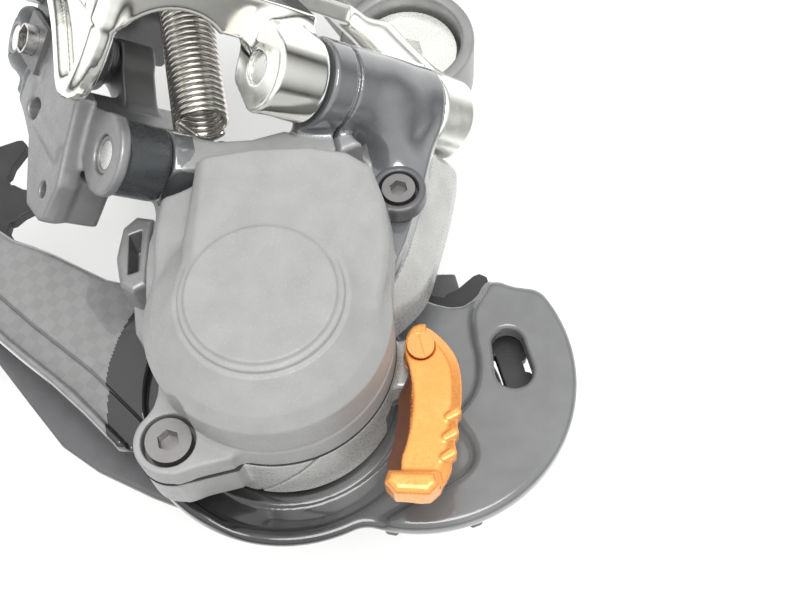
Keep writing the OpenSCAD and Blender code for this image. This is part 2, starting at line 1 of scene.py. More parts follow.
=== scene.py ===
import itertools
import json
import math
import bpy
import numpy as np
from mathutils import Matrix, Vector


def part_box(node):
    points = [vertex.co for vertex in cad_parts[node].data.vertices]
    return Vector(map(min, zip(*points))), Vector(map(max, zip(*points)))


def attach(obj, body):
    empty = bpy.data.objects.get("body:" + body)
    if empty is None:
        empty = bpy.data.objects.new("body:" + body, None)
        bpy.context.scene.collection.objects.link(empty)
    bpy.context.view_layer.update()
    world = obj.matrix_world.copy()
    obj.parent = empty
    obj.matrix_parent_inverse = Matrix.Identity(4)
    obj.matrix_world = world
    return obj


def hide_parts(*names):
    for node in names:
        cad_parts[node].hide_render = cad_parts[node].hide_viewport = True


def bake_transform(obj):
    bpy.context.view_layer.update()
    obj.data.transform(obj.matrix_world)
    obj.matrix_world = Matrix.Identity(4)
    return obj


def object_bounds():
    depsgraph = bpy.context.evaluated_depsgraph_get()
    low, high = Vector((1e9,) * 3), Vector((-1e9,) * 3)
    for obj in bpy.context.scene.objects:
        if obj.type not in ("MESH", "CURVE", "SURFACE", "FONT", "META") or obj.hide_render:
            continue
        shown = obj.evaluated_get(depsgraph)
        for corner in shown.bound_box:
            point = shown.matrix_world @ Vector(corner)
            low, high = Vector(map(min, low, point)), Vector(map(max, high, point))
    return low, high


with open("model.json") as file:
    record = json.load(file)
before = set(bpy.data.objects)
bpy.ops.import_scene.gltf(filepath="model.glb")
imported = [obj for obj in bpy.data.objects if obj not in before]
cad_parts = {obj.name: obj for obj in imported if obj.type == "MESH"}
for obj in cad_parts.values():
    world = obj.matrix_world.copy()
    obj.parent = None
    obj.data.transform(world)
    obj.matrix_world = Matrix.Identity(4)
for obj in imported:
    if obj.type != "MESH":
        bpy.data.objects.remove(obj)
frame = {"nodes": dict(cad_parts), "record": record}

import openvdb as vdb
from mathutils import Matrix, Vector

CAD_BOX = [[float(v) for v in corner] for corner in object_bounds()]
MM = 0.001
NODES = frame["nodes"]
JOINT = {j["name"]: j for j in frame["record"]["behaviour"]["joints"]}


# ---- places, all from the record ----

def joint_mm(name):
    return np.array(JOINT[name]["pos_m"]) * 1000

CAGE = joint_mm("cage_swing")
AX, AZ = CAGE[0], CAGE[2]
PIN_AXIS = JOINT["shift"]["axis"]
SLANT = math.atan2(PIN_AXIS[1], PIN_AXIS[2])
SN, CS = math.sin(SLANT), math.cos(SLANT)

def across(p):
    """[forward, across] of a point, seen along the link pins."""
    return np.array([p[0], p[1] * CS - p[2] * SN])

B1 = across(joint_mm("shift"))
B2 = across(joint_mm("inner_arm_swing"))
P1 = across(joint_mm("knuckle_swing"))
P2 = B2 + P1 - B1
LINK_TURN = math.atan2(*(P1 - B1)[::-1])
GUIDE = joint_mm("guide_spin") - CAGE
TENSION = joint_mm("tension_spin") - CAGE
LEVER = joint_mm("clutch_switch") - CAGE


# ---- solids as distance fields, in millimetres ----

FAR = 9.0   # a field's value where there is nothing near

def pins(X, Y, Z):
    return X, Y * CS - Z * SN, Y * SN + Z * CS

def corner(p, q):
    return np.minimum(np.maximum(p, q), 0) + np.hypot(np.maximum(p, 0), np.maximum(q, 0))

def slab(flat, h, low, high, r=0.3):
    """A flat shape's field made solid from low to high, its edges rounded by r."""
    return corner(flat + r, np.abs(h - (low + high) / 2) - (high - low) / 2 + r) - r

def ring(a, b, centre, radius):
    return np.hypot(a - centre[0], b - centre[1]) - radius

def poly(a, b, points):
    best, sign = 1e9, 1.0
    for (x1, y1), (x0, y0) in zip(points, points[-1:] + points[:-1]):
        ex, ey, wx, wy = x0 - x1, y0 - y1, a - x1, b - y1
        t = np.clip((wx * ex + wy * ey) / (ex * ex + ey * ey), 0, 1)
        best = np.minimum(best, (wx - ex * t) ** 2 + (wy - ey * t) ** 2)
        c1, c2, c3 = b >= y1, b < y0, ex * wy > ey * wx
        sign = sign * np.where((c1 & c2 & c3) | ~(c1 | c2 | c3), -1.0, 1.0)
    return np.sqrt(best) * sign

def curved(points, times=2):
    """A polygon with its corners cut into curves."""
    p = np.array(points, float)
    for _ in range(times):
        q = np.roll(p, -1, axis=0)
        p = np.stack([0.75 * p + 0.25 * q, 0.25 * p + 0.75 * q], 1).reshape(-1, 2)
    return p.tolist()

def segment(a, b, p, q, r0, r1):
    """A flat tapered bar from p to q."""
    dx, dy = q[0] - p[0], q[1] - p[1]
    t = np.clip(((a - p[0]) * dx + (b - p[1]) * dy) / (dx * dx + dy * dy), 0, 1)
    return np.hypot(a - p[0] - t * dx, b - p[1] - t * dy) - r0 - t * (r1 - r0)

def capsule(X, Y, Z, p, q, r0, r1):
    d = np.array(q, float) - p
    t = np.clip(((X - p[0]) * d[0] + (Y - p[1]) * d[1] + (Z - p[2]) * d[2]) / (d @ d), 0, 1)
    return np.sqrt((X - p[0] - t * d[0]) ** 2 + (Y - p[1] - t * d[1]) ** 2
                   + (Z - p[2] - t * d[2]) ** 2) - r0 - t * (r1 - r0)

def join(a, b, k=1.0):
    h = np.clip(0.5 + 0.5 * (b - a) / k, 0, 1)
    return b * (1 - h) + a * h - k * h * (1 - h)

def meet(a, b, k=0.6):
    return -join(-a, -b, k)

def cut(a, b, k=0.4):
    return meet(a, -b, k)

def step(v, low, high):
    t = np.clip((v - low) / (high - low), 0, 1)
    return t * t * (3 - 2 * t)

def from_row(x, e, d):
    return np.array([x, e * CS + d * SN, -e * SN + d * CS])

def link_place(b):
    """Where a link's own frame lies: along it, across it and along its pins."""
    c, s = math.cos(LINK_TURN), math.sin(LINK_TURN)
    return from_row(b[0], b[1], 0), [from_row(c, s, 0), from_row(-s, c, 0), from_row(0, 0, 1)]

LINK_LEN = float(np.hypot(*(P1 - B1)))

def add_piece(ob, body, node):
    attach(ob, body)
    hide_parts(node)


# ---- meshes ----

def mesh_object(name, verts, faces, material, smooth=True):
    me = bpy.data.meshes.new(name)
    me.from_pydata((np.asarray(verts) * MM).tolist(), [], [tuple(map(int, f)) for f in faces])
    me.validate()
    ob = bpy.data.objects.new(name, me)
    bpy.context.collection.objects.link(ob)
    for m in material if isinstance(material, list) else [material]:
        me.materials.append(m)
    me.polygons.foreach_set("use_smooth", [smooth] * len(me.polygons))
    me.update()
    return ob

def carve(name, low, high, h, field, material, pick=None, place=None):
    """The zero surface of a field as a mesh. pick gives each face's material, place its frame."""
    low, high = np.array(low, float), np.array(high, float)
    n = np.ceil((high - low) / h).astype(int) + 1
    X, Y, Z = np.ogrid[0:n[0], 0:n[1], 0:n[2]]
    X, Y, Z = (low[i] + h * v.astype(np.float32) for i, v in enumerate((X, Y, Z)))
    D = np.clip(field(X, Y, Z), -3 * h, 3 * h)
    D = np.array(np.broadcast_to(D, n), np.float32, order="C")
    D[0], D[-1], D[:, 0], D[:, -1], D[:, :, 0], D[:, :, -1] = (3 * h,) * 6
    grid = vdb.FloatGrid(3 * h)
    grid.copyFromArray(D)
    verts, quads = grid.convertToQuads(0.0)
    verts = np.asarray(verts, float) * h + low
    quads = np.asarray(quads)[:, ::-1]
    a, b, c = (verts[quads[:, i]] for i in (0, 1, 2))
    if np.einsum("ij,ij->", a, np.cross(b, c)) < 0:
        quads = quads[:, ::-1]
    mid = verts[quads].mean(1)
    if place is not None:
        verts = place[0] + verts @ np.array(place[1])
    ob = mesh_object(name, verts, quads, material)
    if pick is not None:
        ob.data.polygons.foreach_set("material_index", pick(*mid.T).astype(int))
    return ob

def blur(D, times):
    for _ in range(times):
        for axis in range(3):
            p = np.pad(D, [(1, 1) if i == axis else (0, 0) for i in range(3)], mode="edge")
            n = D.shape[axis]
            take = [np.take(p, range(k, k + n), axis) for k in range(3)]
            D = (take[0] + 2 * take[1] + take[2]) / 4
    return D

def cast(name, node, body, material, h=0.3, soft=3, change=None):
    """A CAD node with its edges rounded and its corners filled, as a casting's are."""
    me = NODES[node].data
    me.calc_loop_triangles()
    verts = np.zeros(len(me.vertices) * 3, np.float32)
    me.vertices.foreach_get("co", verts)
    tris = np.zeros(len(me.loop_triangles) * 3, np.int32)
    me.loop_triangles.foreach_get("vertices", tris)
    verts, tris = verts.reshape(-1, 3) * 1000, tris.reshape(-1, 3)
    low, high = verts.min(0) - 2.5, verts.max(0) + 2.5
    n = np.ceil((high - low) / h).astype(int) + 1
    grid = vdb.FloatGrid.createLevelSetFromPolygons(
        ((verts - low) / h).astype(np.float32), triangles=tris.astype(np.uint32), halfWidth=5)
    D = np.zeros(n, np.float32)
    grid.copyToArray(D)
    D = blur(D * h, soft)

    def field(X, Y, Z):
        return D if change is None else change(D, X, Y, Z)
    ob = carve(name, low, low + (n - 1) * h, h, field, material)
    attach(ob, body)
    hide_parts(node)
    return ob

def tube(points, r, sides=12, closed=False):
    pts = np.asarray(points, float)
    n = len(pts)
    tangent = np.gradient(pts, axis=0)
    tangent /= np.linalg.norm(tangent, axis=1)[:, None]
    normal = np.cross(tangent[0], [0.3, 0.5, 0.8])
    verts, faces = [], []
    for i in range(n):
        normal = normal - tangent[i] * (normal @ tangent[i])
        normal /= np.linalg.norm(normal)
        side = np.cross(tangent[i], normal)
        for k in range(sides):
            t = 2 * math.pi * k / sides
            verts.append(pts[i] + r * (math.cos(t) * normal + math.sin(t) * side))
    for i in range(n - 1):
        for k in range(sides):
            j = (k + 1) % sides
            faces.append((i * sides + k, i * sides + j, (i + 1) * sides + j, (i + 1) * sides + k))
    faces.append(tuple(range(sides - 1, -1, -1)))
    faces.append(tuple((n - 1) * sides + k for k in range(sides)))
    return verts, faces


# ---- materials ----

WEAVE_SCALE, FLECK_SCALE = 480, 1500

def material(name, base, rough, metal=0.0, tint=None, spread=0.08, grain=0.0, size=0.6, coat=0.0,
             weave=0.0, brushed=0.0, mottle=4.0, fleck=0.0, shade_ramp=None):
    """A surface with mottled colour and roughness and fine grain. Its last argument paints shade on it,
    darker towards low Z.
    """
    m = bpy.data.materials.new(name)
    m.use_nodes = True
    t = m.node_tree
    N, L = t.nodes, t.links
    b = N["Principled BSDF"]
    b.inputs["Metallic"].default_value = metal
    b.inputs["Coat Weight"].default_value = coat
    b.inputs["Coat Roughness"].default_value = 0.04
    coord = N.new("ShaderNodeTexCoord")

    def noise(scale, detail, stretch=None):
        v = coord.outputs["Object"]
        if stretch:
            mp = N.new("ShaderNodeMapping")
            mp.inputs["Scale"].default_value = stretch
            L.new(v, mp.inputs["Vector"])
            v = mp.outputs["Vector"]
        x = N.new("ShaderNodeTexNoise")
        x.inputs["Scale"].default_value = scale
        x.inputs["Detail"].default_value = detail
        L.new(v, x.inputs["Vector"])
        return x.outputs["Fac"]

    def ramp(source, stops):
        x = N.new("ShaderNodeValToRGB")
        for i, (at, colour) in enumerate(stops):
            e = x.color_ramp.elements[i] if i < 2 else x.color_ramp.elements.new(at)
            e.position, e.color = at, (*colour, 1)
        L.new(source, x.inputs["Fac"])
        return x.outputs["Color"]

    def spans(source, low, high, a=0.35, z=0.65):
        x = N.new("ShaderNodeMapRange")
        for k, v in (("From Min", a), ("From Max", z), ("To Min", low), ("To Max", high)):
            x.inputs[k].default_value = v
        L.new(source, x.inputs["Value"])
        return x.outputs["Result"]

    base, tint = np.array(base, float), np.array(tint if tint else base, float)
    colour = ramp(noise(1000 / mottle, 4),
                  [(0.3, base * (1 - spread)), (0.5, base), (0.7, tint * (1 + spread))])
    if weave:
        mp = N.new("ShaderNodeMapping")
        mp.inputs["Rotation"].default_value = (0, math.radians(45), 0)
        L.new(coord.outputs["Object"], mp.inputs["Vector"])
        ck = N.new("ShaderNodeTexChecker")
        ck.inputs["Scale"].default_value = WEAVE_SCALE
        ck.inputs["Color1"].default_value = (*(base * (1 + weave)), 1)
        ck.inputs["Color2"].default_value = (*(base * (1 - weave * 0.5)), 1)
        L.new(mp.outputs["Vector"], ck.inputs["Vector"])
        mix = N.new("ShaderNodeMix")
        mix.data_type = "RGBA"
        mix.inputs["Factor"].default_value = 0.6
        L.new(colour, mix.inputs[6])
        L.new(ck.outputs["Color"], mix.inputs[7])
        colour = mix.outputs[2]
    if fleck:
        vo = N.new("ShaderNodeTexVoronoi")
        vo.inputs["Scale"].default_value = FLECK_SCALE
        L.new(coord.outputs["Object"], vo.inputs["Vector"])
        mix = N.new("ShaderNodeMix")
        mix.data_type = "RGBA"
        L.new(spans(vo.outputs["Distance"], fleck, 0, 0.08, 0.22), mix.inputs["Factor"])
        L.new(colour, mix.inputs[6])
        mix.inputs[7].default_value = (0.6, 0.6, 0.6, 1)
        colour = mix.outputs[2]
    # painted shade: the colour multiplied down towards low Z
    if shade_ramp:
        low, high, factor = shade_ramp
        part = N.new("ShaderNodeSeparateXYZ")
        L.new(coord.outputs["Object"], part.inputs[0])
        mix = N.new("ShaderNodeMix")
        mix.data_type = "RGBA"
        mix.blend_type = "MULTIPLY"
        mix.inputs["Factor"].default_value = 1
        L.new(colour, mix.inputs[6])
        L.new(spans(part.outputs["Z"], factor, 1.0, low * MM, high * MM), mix.inputs[7])
        colour = mix.outputs[2]
    L.new(colour, b.inputs["Base Color"])
    fine = noise(1000 / size, 3, (1, 1, 14) if brushed else None)
    L.new(spans(fine, rough * 0.8, min(1, rough * 1.25)), b.inputs["Roughness"])
    bump = N.new("ShaderNodeBump")
    bump.inputs["Strength"].default_value = max(grain, 0.02)
    bump.inputs["Distance"].default_value = 0.0001
    L.new(fine, bump.inputs["Height"])
    L.new(bump.outputs["Normal"], b.inputs["Normal"])
    return m

M = {
    # the cover is matte black; its mid-grey base colour is painted sheen
    "cover": material("matte_cover", (0.29, 0.29, 0.29), 0.48, grain=0.4, size=0.35, spread=0.06, fleck=0.15),
    "gloss": material("gloss_knuckle", (0.16, 0.165, 0.17), 0.16, metal=0.35, coat=1.0, spread=0.12),
    "ringgrey": material("ring_grey", (0.3, 0.3, 0.3), 0.35, metal=0.4, grain=0.15, size=0.5),
    "barrel": material("dark_barrel", (0.07, 0.075, 0.08), 0.3, metal=0.6, grain=0.12, size=0.5),
    # dark brown gold for the lever's lower facet: painted shade and painted reflection of the dark body
    "gold_painted_shade": material("gold_lever_painted_shade", (0.2, 0.08, 0.045), 0.35, metal=0.4, grain=0.1, size=0.6),
    "satin": material("satin_band", (0.45, 0.45, 0.44), 0.3, metal=0.3, grain=0.1, size=0.5),
    "saddle": material("matte_saddle", (0.3, 0.3, 0.3), 0.4, metal=0.2, grain=0.3, size=0.4),
    "polished": material("polished_link", (0.93, 0.93, 0.89), 0.11, metal=1.0, tint=(0.9, 0.88, 0.82),
                         spread=0.02, size=2.0),
    "cream": material("pearl_link", (0.92, 0.92, 0.87), 0.2, metal=0.8, spread=0.02, size=2.0),
    "grey": material("satin_link", (0.26, 0.26, 0.265), 0.38, metal=0.55, grain=0.12, size=0.5),
    "plate": material("gloss_plate", (0.19, 0.19, 0.19), 0.14, coat=1.0, weave=0.12, spread=0.15, size=1.2),
    # the lobe's colour darkens towards low Z: painted shade
    "lobe": material("gloss_lobe", (0.15, 0.152, 0.155), 0.2, coat=0.7, spread=0.08, size=1.2,
                     shade_ramp=(-34, -10, 0.12)),
    "gold": material("gold_lever", (0.9, 0.37, 0.1), 0.27, metal=0.55, tint=(0.92, 0.4, 0.12), grain=0.1,
                     size=0.5, spread=0.02),
    "goldscrew": material("gold_screw", (0.85, 0.42, 0.14), 0.28, metal=0.8, spread=0.05, size=0.7),
    "steel": material("bright_steel", (0.75, 0.75, 0.73), 0.22, metal=1.0, spread=0.05, size=0.5,
                      brushed=1, grain=0.08),
    "boltgrey": material("grey_screws", (0.26, 0.25, 0.25), 0.38, metal=0.85, spread=0.06, size=0.5,
                         grain=0.1),
    "zinc": material("zinc_screws", (0.62, 0.61, 0.6), 0.3, metal=1.0, spread=0.1, size=0.5, grain=0.15),
    "wire": material("spring_wire", (0.8, 0.78, 0.73), 0.2, metal=1.0, spread=0.06, size=0.4),
    "dark": material("dark_alloy", (0.12, 0.12, 0.125), 0.38, metal=0.3, grain=0.15, size=0.4),
    "black": material("black_plastic", (0.035, 0.035, 0.037), 0.42, grain=0.3, size=0.35, spread=0.15),
    "rubber": material("seal_rubber", (0.02, 0.02, 0.021), 0.6, grain=0.3, size=0.3, spread=0.2),
    "bush": material("bush_plastic", (0.5, 0.42, 0.3), 0.45, grain=0.1, size=0.5),
    "bolt": material("hanger_bolt_finish", (0.93, 0.93, 0.9), 0.25, metal=0.7, spread=0.03, size=0.6),
}


# ---- CAD nodes that are shown as they are, with broken edges and a finish ----

def finish_node(node, key, width=0.15, angle=30):
    ob = NODES[node]
    me = ob.data
    me.materials.clear()
    me.materials.append(M[key])
    weld = ob.modifiers.new("weld", "WELD")
    weld.merge_threshold = 0.002 * MM
    bev = ob.modifiers.new("edges", "BEVEL")
    bev.width = width * MM
    bev.segments = 2
    bev.limit_method = "ANGLE"
    bev.angle_limit = math.radians(angle)
    bev.harden_normals = True
    wn = ob.modifiers.new("normals", "WEIGHTED_NORMAL")
    wn.keep_sharp = True

FINISHES = {
    "bolt": ["hanger_bolt"],
    "dark": ["cable_washer", "guide_caps", "tension_caps"],
    "steel": ["b_axle", "cage_link_pins", "knuckle_link_pins", "friction_band", "roller_clutch",
              "cage_axle", "guide_bush", "tension_bush", "cage_stop_pin"],
    "zinc": ["b_tension_screw", "limit_screws", "cable_bolt", "pulley_bolts"],
    "boltgrey": ["cover_bolts"],
    "bush": ["b_axle_bush", "cage_bush"],
    "cream": ["outer_link_bushes"],
    "grey": ["inner_link_bushes"],
    "black": ["cable_guide", "guide_pulley", "tension_pulley"],
    "rubber": ["cover_gasket", "axle_seal"],
}
for key, names in FINISHES.items():
    for node in names:
        finish_node(node, key, 0.3 if "pulley" in node else 0.15)
for node in ("b_axle_spring", "cage_spring", "spring_eye"):
    NODES[node].data.materials.clear()
    NODES[node].data.materials.append(M["wire"])


# ---- clutch cover ----

EAR_SCREW, TOP_SCREW = (12, -18.4), (-16.8, 23.9)

def ear_outline(a, c):
    """The ear that takes the large cover screw, the same on the cover and on the knuckle."""
    return join(ring(a, c, EAR_SCREW, 5.3),
                poly(a, c, [(7.2, -20.3), (2.0, -17.8), (2, -8), (15, -6), (17.2, -10), (17.2, -18.4)]), 1.2)

def cover_field(X, Y, Z):
    a, c, h = X - AX, Z - AZ, -Y
    rho = np.hypot(a, c)
    x, e, _ = pins(X, Y, Z)
    wall = poly(rho, h, [(-9, 10.5), (18.15, 10.5), (18.15, 23.1), (16.5, 25.4), (12.6, 29.3),
                         (-9, 29.3)]) - 0.3
    wall = cut(wall, np.hypot(rho - 18.75, h - 15.8) - 0.62, 0.15)
    disc = poly(rho, h, [(-9, 26), (11.9, 26), (11.75, 30.15), (11.05, 30.3), (10.7, 30.9), (-9, 30.9)]) - 0.2
    outline = [(-25.2, -5.4), (-24.6, 3.5), (-22.6, 12.0), (-20.3, 17.0), (-16.9, 20.0), (-11.3, 20.6),
               (-6.5, 19.9), (-1.2, 18.3), (4.2, 15.8), (0, 0), (-2.7, -11.5), (-12.1, -9.6)]
    flat = poly(a, c, outline) - 0.3
    top = 30.85
    bevel = (a + 24.9) * -0.26 + (c + 4.0) * -0.966
    wing = (a + 4.7) * 0.61 + (c - 11.6) * 0.79
    ceiling = meet(h - top, meet((h - top) * 0.78 + np.maximum(bevel, -3) * 0.62,
                                 (h - top) * 0.91 + np.maximum(wing, -3) * 0.4, 0.3), 0.35)
    draft = flat + (h - 27) * 0.09
    plateau = meet(meet(draft, ceiling, 0.9), 19.6 - h, 0.4)
    ledge = slab(poly(a, c, [(-25.6, -4), (-25.9, -11.2), (-18.8, -13.5), (-15.6, -14.2), (-8.9, -15),
                             (-4, -16), (0, 0)]) - 0.3, h, 18.2, 24.6, 1.2)
    ear = slab(ear_outline(a, c), h, 10.2, 15.0, 0.5)
    tab = slab(ring(a, c, TOP_SCREW, 4.3), h, 19.6, 23.0, 0.5)
    out = join(wall, ear, 1.2)
    out = join(out, ledge, 1.2)
    out = join(out, plateau, 1.1)
    out = join(out, disc, 0.25)
    out = join(out, tab, 0.8)
    for r, top_h in ((9, 29), (12.6, 27.4), (16.3, 23.8)):
        out = cut(out, np.maximum(rho - r, h - top_h), 0.2)
    for screw, r, floor_h in ((EAR_SCREW, 4.15, 11.6), (TOP_SCREW, 3.15, 20.6)):
        out = cut(out, np.maximum(ring(a, c, screw, r), floor_h - h), 0.2)
    out = cut(out, ring(a, c, EAR_SCREW, 2.05), 0.1)
    out = cut(out, ring(a, c, TOP_SCREW, 1.6), 0.1)
    return cut(out, ring(x, e, P2, 6.45), 0.5)

low, high = (np.array(v) * 1000 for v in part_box("clutch_cover"))
cover = carve("cover_shell", low - 2, high + 2, 0.22, cover_field, [M["cover"], M["dark"]],
              lambda X, Y, Z: (np.hypot(X - AX + 16.8, Z - AZ - 23.9) < 4.9) & (Y > -23.4))
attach(cover, "lower_knuckle")
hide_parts("clutch_cover")


# ---- lower knuckle ----

EDGE = [(-40.6, 22), (-40.9, 28.5), (-38.2, 31.6), (-34.1, 32.6), (-28.6, 31.8), (-22.1, 29.0),
        (-15.2, 25.4), (-8.1, 21.5), (-1.8, 16.0), (6, 10), (6, -6), (-3, -17.4), (-13, -16.6),
        (-21, -14.6), (-24.6, -11.2), (-24.8, 12), (-31, 16)]
EDGE_CURVE = curved(EDGE, 1)

def knuckle_edge(X, Y, Z):
    return poly(X - AX, Z - AZ, EDGE_CURVE) - 0.8

def knuckle_field(X, Y, Z):
    a, c, y = X - AX, Z - AZ, Y
    rho = np.hypot(a, c)
    x, e, d = pins(X, Y, Z)
    case = slab(rho - 18.45, y, -9.8, 3.45, 0.7)
    flare = 4.0 * step(y, -17, -9) * step(a, -31, -25) * step(c, -4, 8) * (1 - step(a, -6, 4))
    block = meet(meet(knuckle_edge(X, Y, Z) - flare, -19.4 - y, 0.5), y + 3, 1.2)
    p1 = np.hypot(x - P1[0], e - P1[1])
    barrel = slab(p1 - 7.3, d, -34.9, -13.2, 0.5)
    elbow = capsule(X, Y, Z, from_row(P1[0] + 1, P1[1] + 0.5, -21), np.array([AX - 22, -15.5, AZ + 25.5]),
                    6.4, 3.6)
    p2 = np.hypot(x - P2[0], e - P2[1])
    boss = slab(p2 - 5.9, d, -50.7, -37.1, 0.4)
    neck = slab(poly(x, e, [(P2[0], P2[1] - 5.2), (P2[0] + 9, P2[1] - 5.2), (P2[0] + 9, P2[1] + 5.2),
                            (P2[0], P2[1] + 5.2)]), d, -49.5, -37.4, 0.6)
    saddle = slab(poly(a, c, [(-32.4, -6.2), (-30.4, -1.5), (-29.4, 3.5), (-29.7, 9), (-31.8, 15.5),
                              (-24, 20), (-22, 10), (-22, -9), (-28, -9)]), y, -26.6, -17, 0.9)
    lug = slab(join(ring(a, c, (LEVER[0], LEVER[2]), 4.1),
                    poly(a, c, [(1.5, 17), (9, 15.4), (9.8, 21.6), (1.4, 21.6)]), 1), y, -7.4, -0.2, 0.5)
    ear = slab(ear_outline(a, c), y, -9.8, -1.4, 0.5)
    foot = slab(poly(a, c, [(-22, -14), (-17.5, -20.2), (-9, -20.8), (-2, -18), (0, -10)]) - 0.6,
                y, -11.5, -3, 1.2)
    stop = slab(poly(a, c, [(-25.0, 1.2), (-17.4, 1.2), (-17.4, 5.6), (-25.0, 5.6)]), y, -5, 2.2, 0.4)
    out = join(case, block, 1.0)
    out = join(out, join(barrel, elbow, 3.0), 3.0)
    out = join(out, join(boss, neck, 1.0), 1.2)
    out = join(out, saddle, 1.5)
    for part in (lug, ear, foot, stop):
        out = join(out, part, 0.9)
    out = cut(out, np.maximum(6.75 - p1, np.abs(d + 30.5) - 0.3), 0.1)
    # rooms: the cover, its tab, the links' arms, the lever's heel
    out = cut(out, np.maximum(rho - 18.8, y + 9.8), 0.2)
    flat = poly(a, c, [(-25.7, -11.5), (-25.5, 4), (-22.9, 12.4), (-20.7, 17.4), (-17, 20.5), (-11.3, 21.1),
                       (-5, 20.2), (5, 16.4), (0, 0), (-6, -16.5), (-19, -14.2)])
    out = cut(out, np.maximum(flat - 0.25, y + 19.5), 0.2)
    out = cut(out, np.maximum(ring(a, c, TOP_SCREW, 4.75), y + 19.5), 0.2)
    out = cut(out, np.maximum(ring(a, c, (LEVER[0], LEVER[2]), 6.3), y + 8.9), 0.2)
    out = cut(out, np.maximum(p1 - 7.6, -13.1 - d), 0.2)
    out = cut(out, np.maximum(p1 - 8.6, d + 35.0), 0.1)
    out = cut(out, np.maximum(p2 - 6.3, -37.05 - d) + np.where(d > -27, FAR, 0), 0.2)
    out = cut(out, np.maximum(p2 - 6.6, d + 50.75), 0.1)
    # bores and chamber
    out = cut(out, np.maximum(rho - 16.2, y - 1.2), 0.2)
    out = cut(out, rho - 6.6, 0.2)
    out = cut(out, p1 - 2.3, 0.1)
    out = cut(out, np.maximum(p2 - 2.3, d + 30), 0.1)
    out = cut(out, np.maximum(p2 - 4.1, np.abs(d + 41.5) - 1.1), 0.1)
    for turn in (185, 210, 235):
        s, t = math.sin(math.radians(turn)), math.cos(math.radians(turn))
        along, side = (x - P2[0]) * t + (e - P2[1]) * s, (e - P2[1]) * t - (x - P2[0]) * s
        box = np.maximum(np.maximum(-along, along - 8), np.abs(side) - 2.5)
        out = cut(out, np.maximum(box, np.abs(d + 41.5) - 1.1), 0.1)
    for place, r, deep in ((EAR_SCREW, 2.0, -2.8), (TOP_SCREW, 1.6, -12)):
        out = cut(out, np.maximum(ring(a, c, place, r), y - deep), 0.1)
    return cut(out, np.maximum(ring(a, c, (LEVER[0], LEVER[2]), 1.6), y + 1.5), 0.1)

def knuckle_pick(X, Y, Z):
    a, c = X - AX, Z - AZ
    x, e, _ = pins(X, Y, Z)
    p1, p2 = np.hypot(x - P1[0], e - P1[1]), np.hypot(x - P2[0], e - P2[1])
    band = (knuckle_edge(X, Y, Z) > 0.35) & (c > 8) & (Y > -17) & (Y < -3) & (a > -30) & (p1 > 8.5)
    saddle = (Y < -19.3) & (a > -34) & (p1 > 8.2) & (p2 > 6.4) & (c < 21)
    case = (np.hypot(a, c) < 18.7) & (Y > -9.9) & (c < 14)
    foot = ((Y < -4) & (c < -13.2) & (a < 0)) | ((c < -8) & (a > 0))
    return np.where(band | case, 1, np.where(saddle | foot, 2, 0))

low, high = (np.array(v) * 1000 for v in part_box("p_knuckle"))
knuckle = carve("knuckle_body", low - 6, high + 6, 0.25, knuckle_field,
                [M["gloss"], M["satin"], M["saddle"]], knuckle_pick)
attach(knuckle, "lower_knuckle")
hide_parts("p_knuckle")


# ---- outer link: two arms, a hood over the spring and a dished fin ----

FIN_EDGE = curved([(0, -8.6), (24, -9), (34, -6.5), (38.2, -2), (39.4, 5), (38.6, 10.5),
                   (36.6, 13.8), (33.4, 14.2), (29, 11.2), (23, 7.2), (12, 3.4), (2, -0.5)])

